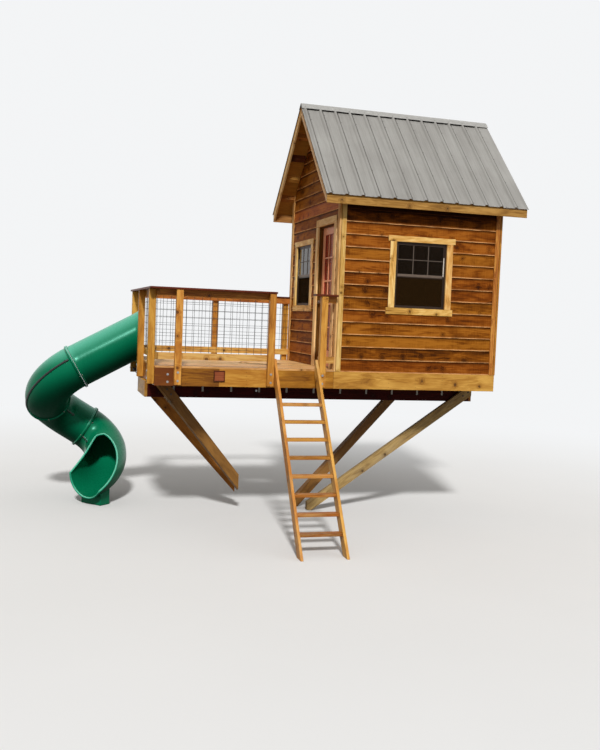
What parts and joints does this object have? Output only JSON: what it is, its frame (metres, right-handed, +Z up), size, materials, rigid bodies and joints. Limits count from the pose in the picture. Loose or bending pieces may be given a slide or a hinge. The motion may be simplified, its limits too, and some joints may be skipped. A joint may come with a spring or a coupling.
{
  "type": "tree house",
  "caption": "Timber tree house: lap-sided cabin with a ribbed metal gable roof on a braced platform, with a railed deck, a ladder and a winding tube slide.",
  "frame": {"origin": "on the trunk-side face of the front main beam, level with the beam's middle and in line with the trunk's centre", "axes": "+X along the deck's front towards the cabin, +Y from front to rear, +Z up"},
  "size_m": [6.7908, 4.6573, 6.0078],
  "materials": {
    "gold_timber": "oiled, golden brown",
    "dark_timber": "stained dark brown",
    "red_siding": "stained red-brown",
    "bronze_frame": "dark bronze",
    "glass": "clear",
    "coral_door": "painted coral red",
    "knob_metal": "satin",
    "roof_metal": "warm light grey",
    "black_wire": "black coated wire",
    "green_plastic": "glossy dark green"
  },
  "bodies": {
    "house": {"front_rim": "gold_timber", "rear_rim": "gold_timber", "end_rims": "gold_timber", "joists": "dark_timber", "main_beams": "dark_timber", "beam_end_boards": "gold_timber", "knee_braces": "dark_timber", "decking": "gold_timber", "cabin_floor": "gold_timber", "front_wall": "red_siding", "rear_wall": "red_siding", "right_wall": "red_siding", "left_wall_front": "red_siding", "left_wall_rear": "red_siding", "left_gable": "red_siding", "corner_boards": "gold_timber", "window_trims": "gold_timber", "window_sashes": "bronze_frame", "window_glass": "glass", "door_frame": "gold_timber", "rafters": "gold_timber", "rake_frames": "gold_timber", "fascias": "gold_timber", "roof_boards": "dark_timber", "roof_metal": "roof_metal", "ridge_cap": "roof_metal", "ladder_sides": "gold_timber", "ladder_treads": "gold_timber", "railing_posts": "gold_timber", "rails": "gold_timber", "rail_caps": "dark_timber", "front_mesh": "black_wire", "left_mesh": "black_wire", "rear_mesh": "black_wire", "slide_plate": "green_plastic", "slide_tube": "green_plastic", "slide_upper_bend": "green_plastic", "slide_lower_bend": "green_plastic", "slide_short_tube": "green_plastic", "slide_exit_bend": "green_plastic", "slide_chute": "green_plastic", "slide_foot": "green_plastic"},
    "door": {"door_leaf": "coral_door", "door_glass": "glass", "door_knobs": "knob_metal"}
  },
  "joints": [
    {"name": "door_hinge", "type": "hinge", "parent": "house", "child": "door", "pos_m": [0.87, -0.579, 1.37], "axis": [0, 0, -1], "range_deg": [0, 90]}
  ]
}
